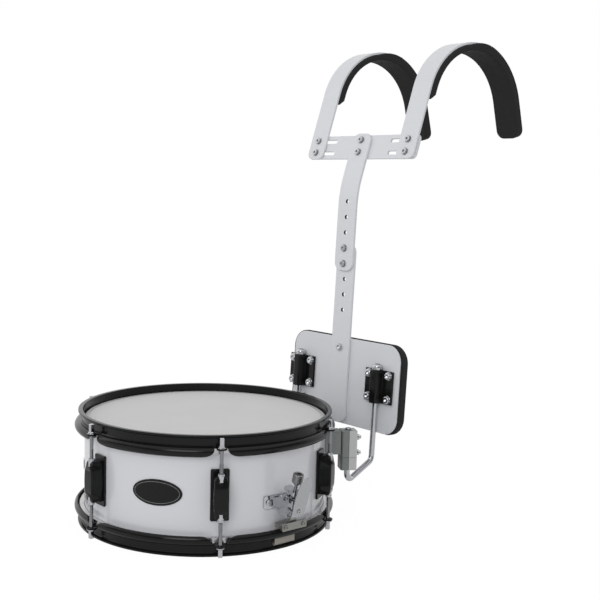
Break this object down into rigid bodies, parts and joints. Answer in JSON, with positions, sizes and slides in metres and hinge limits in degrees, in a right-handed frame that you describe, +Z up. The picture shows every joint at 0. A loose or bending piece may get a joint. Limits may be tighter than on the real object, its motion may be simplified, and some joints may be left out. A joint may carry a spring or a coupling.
{
  "type": "marching snare drum with shoulder carrier",
  "caption": "Marching snare drum in glossy white with black hoops and lugs, on a white shoulder carrier with black foam pads.",
  "frame": {"origin": "under the middle of the whole part, on the floor the drum stands on", "axes": "+Z up along the drum, +Y from the drum to the player, +X to the strainer"},
  "size_m": [0.4228, 0.77, 0.7333],
  "materials": {
    "white_shell": "glossy white wrap",
    "coated_head": "coated white film",
    "clear_head": "thin clear film",
    "black_coat": "satin black",
    "chrome": "polished",
    "cast_grey": "satin cast",
    "strap_film": "matt beige tape",
    "white_coat": "satin white powder coat",
    "black_foam": "matt closed-cell foam"
  },
  "bodies": {
    "drum": {"shell": "white_shell", "batter_head": "coated_head", "batter_hoop": "black_coat", "snare_head": "clear_head", "snare_hoop": "black_coat", "lug_1": "black_coat", "lug_2": "black_coat", "lug_3": "black_coat", "lug_4": "black_coat", "lug_5": "black_coat", "lug_6": "black_coat", "badge": "black_coat", "vent_grommet": "chrome", "strainer_base": "chrome", "butt_plate": "chrome", "butt_clamp_bar": "chrome", "butt_strap": "strap_film", "snare_wires": "chrome", "receiver_bracket_left": "cast_grey", "receiver_bracket_right": "cast_grey", "receiver_block_left": "cast_grey", "receiver_block_right": "cast_grey"},
    "strainer_lever": {"strainer_lever": "chrome"},
    "strainer_slide": {"strainer_slide": "chrome", "strainer_strap": "strap_film"},
    "strainer_knob": {"strainer_knob": "cast_grey"},
    "j_rod_left": {"j_rod_left": "chrome"},
    "j_rod_right": {"j_rod_right": "chrome"},
    "carrier": {"rod_clamp_back_left": "black_coat", "rod_clamp_cap_left": "black_coat", "rod_clamp_back_right": "black_coat", "rod_clamp_cap_right": "black_coat", "belly_plate": "white_coat", "belly_pad": "black_foam", "belly_bolt": "chrome", "mast_lower_bar": "white_coat", "mast_upper_bar": "white_coat", "mast_bolt_lower": "chrome", "mast_bolt_upper": "chrome", "t_bar": "white_coat"},
    "shoulder_left": {"shoulder_bar_left": "white_coat", "shoulder_pad_left": "black_foam", "shoulder_bolt_left_lower": "chrome", "shoulder_bolt_left_upper": "chrome"},
    "shoulder_right": {"shoulder_bar_right": "white_coat", "shoulder_pad_right": "black_foam", "shoulder_bolt_right_lower": "chrome", "shoulder_bolt_right_upper": "chrome"},
    "batter_tension_rod_1": {"batter_tension_rod_1": "chrome"},
    "batter_tension_rod_2": {"batter_tension_rod_2": "chrome"},
    "batter_tension_rod_3": {"batter_tension_rod_3": "chrome"},
    "batter_tension_rod_4": {"batter_tension_rod_4": "chrome"},
    "batter_tension_rod_5": {"batter_tension_rod_5": "chrome"},
    "batter_tension_rod_6": {"batter_tension_rod_6": "chrome"},
    "snare_tension_rod_1": {"snare_tension_rod_1": "chrome"},
    "snare_tension_rod_2": {"snare_tension_rod_2": "chrome"},
    "snare_tension_rod_3": {"snare_tension_rod_3": "chrome"},
    "snare_tension_rod_4": {"snare_tension_rod_4": "chrome"},
    "snare_tension_rod_5": {"snare_tension_rod_5": "chrome"},
    "snare_tension_rod_6": {"snare_tension_rod_6": "chrome"}
  },
  "joints": [
    {"name": "batter_rod_1_turn", "type": "hinge", "parent": "drum", "child": "batter_tension_rod_1", "pos_m": [0.14809, -0.08796, 0.13], "axis": [0, 0, 1], "continuous": true},
    {"name": "batter_rod_2_turn", "type": "hinge", "parent": "drum", "child": "batter_tension_rod_2", "pos_m": [-0.01949, 0.00879, 0.13], "axis": [0, 0, 1], "continuous": true},
    {"name": "batter_rod_3_turn", "type": "hinge", "parent": "drum", "child": "batter_tension_rod_3", "pos_m": [-0.18706, -0.08796, 0.13], "axis": [0, 0, 1], "continuous": true},
    {"name": "batter_rod_4_turn", "type": "hinge", "parent": "drum", "child": "batter_tension_rod_4", "pos_m": [-0.18706, -0.28146, 0.13], "axis": [0, 0, 1], "continuous": true},
    {"name": "batter_rod_5_turn", "type": "hinge", "parent": "drum", "child": "batter_tension_rod_5", "pos_m": [-0.01949, -0.37821, 0.13], "axis": [0, 0, 1], "continuous": true},
    {"name": "batter_rod_6_turn", "type": "hinge", "parent": "drum", "child": "batter_tension_rod_6", "pos_m": [0.14809, -0.28146, 0.13], "axis": [0, 0, 1], "continuous": true},
    {"name": "snare_rod_1_turn", "type": "hinge", "parent": "drum", "child": "snare_tension_rod_1", "pos_m": [0.14809, -0.08796, 0.035], "axis": [0, 0, 1], "continuous": true},
    {"name": "snare_rod_2_turn", "type": "hinge", "parent": "drum", "child": "snare_tension_rod_2", "pos_m": [-0.01949, 0.00879, 0.035], "axis": [0, 0, 1], "continuous": true},
    {"name": "snare_rod_3_turn", "type": "hinge", "parent": "drum", "child": "snare_tension_rod_3", "pos_m": [-0.18706, -0.08796, 0.035], "axis": [0, 0, 1], "continuous": true},
    {"name": "snare_rod_4_turn", "type": "hinge", "parent": "drum", "child": "snare_tension_rod_4", "pos_m": [-0.18706, -0.28146, 0.035], "axis": [0, 0, 1], "continuous": true},
    {"name": "snare_rod_5_turn", "type": "hinge", "parent": "drum", "child": "snare_tension_rod_5", "pos_m": [-0.01949, -0.37821, 0.035], "axis": [0, 0, 1], "continuous": true},
    {"name": "snare_rod_6_turn", "type": "hinge", "parent": "drum", "child": "snare_tension_rod_6", "pos_m": [0.14809, -0.28146, 0.035], "axis": [0, 0, 1], "continuous": true},
    {"name": "strainer_throw", "type": "hinge", "parent": "drum", "child": "strainer_lever", "pos_m": [0.18431, -0.18471, 0.057], "axis": [0, 1, 0], "range_deg": [0, 70]},
    {"name": "strainer_drop", "type": "slide", "parent": "drum", "child": "strainer_slide", "axis": [0, 0, 1], "range_m": [-0.0036, 0]},
    {"name": "strainer_adjust", "type": "hinge", "parent": "drum", "child": "strainer_knob", "pos_m": [0.18531, -0.18471, 0.084], "axis": [0.2588, 0, 0.9659], "continuous": true},
    {"name": "j_rod_left_height", "type": "slide", "parent": "drum", "child": "j_rod_left", "axis": [0, 0, 1], "range_m": [-0.025, 0]},
    {"name": "j_rod_right_height", "type": "slide", "parent": "drum", "child": "j_rod_right", "axis": [0, 0, 1], "range_m": [-0.025, 0]},
    {"name": "carrier_height", "type": "slide", "parent": "j_rod_left", "child": "carrier", "axis": [0, 0.0489, 0.9988], "range_m": [-0.06, 0]},
    {"name": "shoulder_left_spread", "type": "slide", "parent": "carrier", "child": "shoulder_left", "axis": [1, 0, 0], "range_m": [0, 0.035]},
    {"name": "shoulder_right_spread", "type": "slide", "parent": "carrier", "child": "shoulder_right", "axis": [-1, 0, 0], "range_m": [0, 0.035]}
  ],
  "couplings": [
    {"joint": "strainer_drop", "follows": "strainer_throw", "m_per_rad": -0.002865},
    {"joint": "j_rod_right_height", "follows": "j_rod_left_height", "ratio": 1}
  ]
}
